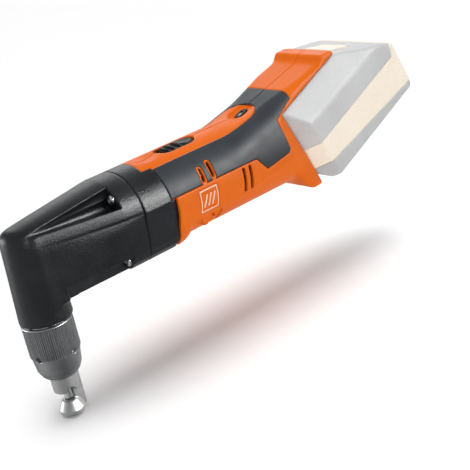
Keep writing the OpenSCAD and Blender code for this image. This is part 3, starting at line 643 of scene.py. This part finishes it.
surface("clamp_nut", die_nut, (-18, -18, 32.7), (18, 18, 74.9), 0.34, "nut", "nut_steel", "die_nut")
surface("die_body", die, (-13.5, -13.5, 0), (13.5, 13.5, 53), 0.3, "die", "die_steel", "die")
surface("collar_ring", collar, (-17.2, -17.2, 53.4), (17.2, 17.2, 88), 0.34, "housing", "bright_steel",
        "die_collar")

# ---------------------------------------- battery, along and square to its slide
PACK_HALF, TOP_HALF = 38, 27                   # half the pack's width, and half its top's
RELEASE_SLOPE, RELEASE_HALF = math.radians(-32.4), 14
HOLLOW_ROOF = [-20, 62, 78, 96, 120], [48, 47, 44.5, 40, 36]
FRONT_SLOTS = [(12, 63, 90, 57.2), (18, 60.4, 65.8, 57.2), (14.5, 46, 61, 13)]     # half, from, to, depth
BASE_HOLE_Y, BASE_HOLES_U = 31.8, (1, 98.5)
RIDGES, RIDGE_PITCH = 5, 3.4

def pack_case(u, v, Y, t):
    """The whole pack's outside, or for t its outside with a wall of that thickness taken off."""
    k = 1.6
    outline = convex(u, v, [(-11 + t, 9), (-4 + t, t), (101, t), (106 - t, 6), (106 - t, 42 - t),
                            (58, PACK_H - t), (-11 + t, PACK_H - t)], k)
    y = np.abs(Y) - (PACK_HALF - t)
    front = (np.abs(Y) - u - 37.2 + 1.2 * t) * 0.7071
    rear = np.sqrt(np.maximum(u - 100 + t, 0) ** 2 + np.maximum(y + 6, 0) ** 2) - 6
    bevel = (np.abs(Y) - TOP_HALF + t) * 0.8742 + (v - PACK_H) * 0.4857
    return smax(smax(smax(outline, y, k), np.maximum(front, rear), k), bevel, k)

def pack_layer(u, v, Y, beyond):
    """One hollow layer of the pack: the case without what lies beyond its seams."""
    body = pack_case(u, v, Y, 0)
    for limit in beyond:
        body = smax(body, limit, 0.5)
    return cut(body, meet(pack_case(u, v, Y, 2.4), v - np.interp(u, *HOLLOW_ROOF)), 0.4)

def lower_seam(u):
    return np.interp(u, [0, 107], [14.5, 4.8])

def upper_zone(u, v):
    """Inside is the top case, which comes down in a slope at the rear."""
    return meet(34.2 - v, ((u - 98) * 25.8 - (v - 34.2) * 6) / 26.5)

def pack_base(X, Y, Z):
    """Floor of the pack with the bosses and holes of its four screws."""
    u, v = pack_frame(X, Z)
    body = pack_layer(u, v, Y, [v - lower_seam(u)])
    for at in BASE_HOLES_U:
        r = np.sqrt((u - at) ** 2 + (np.abs(Y) - BASE_HOLE_Y) ** 2)
        body = join(body, meet(r - 3.4, slab(v, 0.3, 4)))
        body = cut(body, join(r - 1.5, meet(r - 2.8, v - 1.8)), 0.3)
    return body

def pack_band(X, Y, Z):
    u, v = pack_frame(X, Z)
    return pack_layer(u, v, Y, [lower_seam(u) - v, -upper_zone(u, v)])

def release_frame(u, v):
    """Down along the rear slope from its top edge, and out from it."""
    return turned(u - 58, v - PACK_H, RELEASE_SLOPE)

def pack_top(X, Y, Z):
    """Top case with the T slot for the rail, the contacts' recess and the release plate's seat."""
    u, v = pack_frame(X, Z)
    slots = [meet(np.abs(Y) - half, slab(v, lo, hi), u - depth) for half, lo, hi, depth in FRONT_SLOTS]
    a, b = release_frame(u, v)
    seat = meet(slab(a, 7, 31), np.abs(Y) - RELEASE_HALF - 0.4, slab(b, -6.5, 5))
    return cut(pack_layer(u, v, Y, [upper_zone(u, v)]), join(*slots, seat))

def release_button(X, Y, Z):
    """Press plate with low finger ridges and a stem plate beneath."""
    a, b = release_frame(*pack_frame(X, Z))
    body = smax(smax(slab(a, 7.4, 30.6), np.abs(Y) - RELEASE_HALF, 3.0), slab(b, -1.6, 1.1), 0.8)
    for at in range(RIDGES):
        across = np.sqrt((a - 12 - RIDGE_PITCH * at) ** 2 + (b - 0.9) ** 2)
        body = smin(body, pill(Y, across, 9, 0.65), 0.5)
    return join(body, smax(smax(slab(a, 10, 28), np.abs(Y) - 8, 0.5), slab(b, -2.2, 0), 0.3))

surface("pack_base_case", pack_base, (240, -38, 83.5), (352, 38, 136), 0.85, "battery", "pack_grey",
        "pack_base")
surface("pack_band_case", pack_band, (228, -38, 88), (354, 38, 180), 0.85, "battery", "pack_cream",
        "pack_band")
surface("pack_top_case", pack_top, (216, -38, 108), (347, 38, 178), 0.8, "battery", "pack_light", "pack_top")
surface("release_plate", release_button, (283, -14, 160), (317, 14, 180), 0.4, "release", "pack_cream",
        "release_button")

# ---------------------------------------- switch, lamp and badge
RIBS_X = (124.5, 130.1, 136.1)
BADGE_X, BADGE_Z = 132.3, 113.8

def switch_button(X, Y, Z):
    """Slide button: three finger ribs in front, a dished pad behind."""
    body = smax(long_hole(X, Y, 122.3, 150.4, 7.9), slab(Z, 147.2, 149.6), 0.5)
    top = 151.5 - 0.018 * Y ** 2
    ribs = join(*[smax(np.abs(X - x + 0.15 * (Z - 150)) - 0.95, Z - top, 0.9) for x in RIBS_X])
    ribs = meet(smax(ribs, np.abs(Y) - 6.4, 0.8), long_hole(X, Y, 122.9, 149.8, 7.3), 149 - Z)
    body = smin(body, ribs, 0.5)
    pad = smax(long_hole(X, Y, 136.6, 149.4, 6.6), slab(Z, 149, 151.0 - 0.012 * Y ** 2), 0.7)
    pad = cut(pad, np.sqrt((X - 143.6) ** 2 + Y ** 2 + (Z - 168.6) ** 2) - 18.6)
    return smax(smin(body, pad, 0.4), barrel(Y, Z) - 0.6, 0.3)

def lamp(X, Y, Z):
    """Oval bezel with a sunk field for the window."""
    a, b = lens_frame(X, Z)
    body = smax(pill(a, Y, LAMP_HALF, 3.3), slab(b, -3, 0.4), 0.5)
    return cut(body, smax(smax(np.abs(a) - 2.6, np.abs(Y) - 1.5, 0.6), -0.1 - b, 0.3), 0.3)

# A thin pale sheet set off to one side in the lamp's sunk field: the window, and a painted highlight where
# the lamp gleams.
def lamp_window_and_highlight(X, Y, Z):
    a, b = lens_frame(X, Z)
    return smax(smax(np.abs(a + 0.9) - 1.6, np.abs(Y) - 1.4, 0.7), slab(b, -0.4, 0.0), 0.2)

def badge_ground(X, Y, Z):
    """Square plate that follows the barrel."""
    plate = smax(slab(X, 123.5, 141.1), slab(Z, 104.7, 122.9), 0.6)
    return smax(plate, slab(around_x(Y, Z, BARREL_Z), 31.2, 32.0), 0.3)

def badge_lines(X, Y, Z):
    """Raised frame and three slanting bars on the badge plate."""
    square = smax(slab(X, 124.2, 140.4), slab(Z, 105.4, 122.2), 0.8)
    lines = np.abs(square + 0.45) - 0.42
    for at in (-3.6, 0, 3.6):
        slant = (X - BADGE_X - at) * 0.94 - (Z - BADGE_Z) * 0.34
        lines = join(lines, smax(np.abs(slant) - 0.6, np.abs(Z - BADGE_Z) - 4.6, 0.5))
    return smax(lines, slab(around_x(Y, Z, BARREL_Z), 31.8, 32.35), 0.2)

surface("switch_slider", switch_button, (122.3, -7.9, 147.2), (150.4, 7.9, 151.6), 0.28, "switch",
        "black_plastic", "switch_button")
surface("lamp_bezel", lamp, (193, -3.3, 146), (208, 3.3, 154), 0.25, "housing", "lens", "status_lens")
# The pale sheet in the lamp is partly its window and partly a painted highlight.
surface("lamp_window_and_highlight", lamp_window_and_highlight, (197, -1.5, 149), (204, 1.5, 154), 0.2, "housing", "lens",
        material=window_and_highlight_finish)
for side, tail in SIDES:
    y0, y1 = sorted((28 * side, 33 * side))
    lo, hi = zip(BADGE_SEAT_X, (y0, y1), BADGE_SEAT_Z)
    surface("badge_plate_" + tail, badge_ground, lo, hi, 0.4, "housing", "orange_plastic", "badge_plates")
    surface("badge_mark_" + tail, badge_lines, lo, hi, 0.22, "housing", "badge")

# ---------------------------------------- room
scene = bpy.context.scene
FLOOR_HALF = 6

def floor_paper():
    m = bpy.data.materials.new("paper")
    m.use_nodes = True
    shader = m.node_tree.nodes["Principled BSDF"]
    shader.inputs["Base Color"].default_value = (0.97, 0.97, 0.97, 1)
    shader.inputs["Roughness"].default_value = 0.9
    shader.inputs["Specular IOR Level"].default_value = 0.1
    return m

floor_mesh = bpy.data.meshes.new("floor")
floor_corners = [(x * FLOOR_HALF, y * FLOOR_HALF, 0) for x, y in ((-1, -1), (1, -1), (1, 1), (-1, 1))]
floor_mesh.from_pydata(floor_corners, [], [(0, 1, 2, 3)])
floor_mesh.materials.append(floor_paper())
floor = bpy.data.objects.new("floor", floor_mesh)
scene.collection.objects.link(floor)
floor.visible_glossy = False

def studio_world():
    """A white sky, brighter behind than in front and at the sides than in the middle, darker overhead."""
    world = bpy.data.worlds.new("studio")
    world.use_nodes = True
    t = world.node_tree
    link = t.links.new
    def ranged(value, start, end, low, high):
        n = t.nodes.new("ShaderNodeMapRange")
        for key, number in (("From Min", start), ("From Max", end), ("To Min", low), ("To Max", high)):
            n.inputs[key].default_value = number
        link(value, n.inputs["Value"])
        return n.outputs["Result"]
    def worked_out(operation, *values):
        n = t.nodes.new("ShaderNodeMath")
        n.operation = operation
        for value, socket in zip(values, n.inputs):
            link(value, socket)
        return n.outputs[0]
    way = t.nodes.new("ShaderNodeSeparateXYZ")
    link(t.nodes.new("ShaderNodeTexCoord").outputs["Generated"], way.inputs["Vector"])
    behind = ranged(way.outputs["Y"], -0.3, 0.9, 0.32, 0.62)
    overhead = ranged(way.outputs["Z"], -0.1, 0.3, 1.0, 0.9)
    sideways = ranged(worked_out("ABSOLUTE", way.outputs["X"]), 0.0, 1.0, 0.45, 1.45)
    strength = worked_out("MULTIPLY", worked_out("MULTIPLY", behind, overhead), sideways)
    t.nodes["Background"].inputs["Color"].default_value = (1, 1, 1, 1)
    link(strength, t.nodes["Background"].inputs["Strength"])
    return world

scene.world = studio_world()

# ---------------------------------------- lights
MIDDLE = (0.15, 0, 0.11)
# cards that show in reflections and light nothing: name, place, aim, width, height and watts
GLOSS_CARDS = [
    ("back_card", (0.95, 1.0, 0.72), MIDDLE, 1.3, 0.5, 5),
    ("strip_card", (0.68, -0.98, 0.51), MIDDLE, 1.0, 0.28, 28),
    ("left_card", (-0.72, 0.95, 0.2), (0.0, 0.0, 0.1), 0.3, 0.6, 8)]

def aimed(name, light, place, aim):
    lamp_object = bpy.data.objects.new(name, light)
    lamp_object.location = place
    lamp_object.rotation_mode = "QUATERNION"
    lamp_object.rotation_quaternion = (Vector(aim) - Vector(place)).to_track_quat("-Z", "Y")
    scene.collection.objects.link(lamp_object)
    return lamp_object

def softbox(name, place, aim, width, height, watts):
    light = bpy.data.lights.new(name, "AREA")
    light.shape = "RECTANGLE"
    light.size, light.size_y, light.energy = width, height, watts
    return aimed(name, light, place, aim)

sun = bpy.data.lights.new("ceiling", "SUN")
sun.energy, sun.angle = 2.18, math.radians(38)
aimed("ceiling", sun, (0.0, 0.0, 1.0), (0, 0, 0)).visible_glossy = False
for card in GLOSS_CARDS:
    light = softbox(*card)
    light.visible_diffuse = light.visible_camera = False
softbox("front", (0.0, -1.6, 0.55), MIDDLE, 1.2, 0.9, 8).visible_glossy = False
fill = softbox("floor_fill", (0.36, 0.0, 0.085), (0.37, 0.0, 0.0), 0.2, 0.12, 0.05)
fill.visible_glossy = fill.visible_camera = False

# ---------------------------------------- camera
AROUND, ABOVE, ROLL = math.radians(37), math.radians(21.8), math.radians(-12.3)
CAMERA_PLACE = (-0.29945, -0.62418, 0.37613)
SENSOR, FOCAL_LENGTH = 36, 84.26

back = Vector((-math.sin(AROUND) * math.cos(ABOVE), -math.cos(AROUND) * math.cos(ABOVE), math.sin(ABOVE)))
level = Vector((0, 0, 1)).cross(back).normalized()
upright = back.cross(level)
right = math.cos(ROLL) * level + math.sin(ROLL) * upright
up = -math.sin(ROLL) * level + math.cos(ROLL) * upright
optics = bpy.data.cameras.new("camera")
optics.sensor_width, optics.lens = SENSOR, FOCAL_LENGTH
optics.clip_start, optics.clip_end = 0.01, 50
camera = bpy.data.objects.new("camera", optics)
camera.matrix_world = Matrix((right, up, back)).transposed().to_4x4()
camera.location = CAMERA_PLACE
scene.collection.objects.link(camera)
scene.camera = camera
scene.view_settings.view_transform = "Standard"
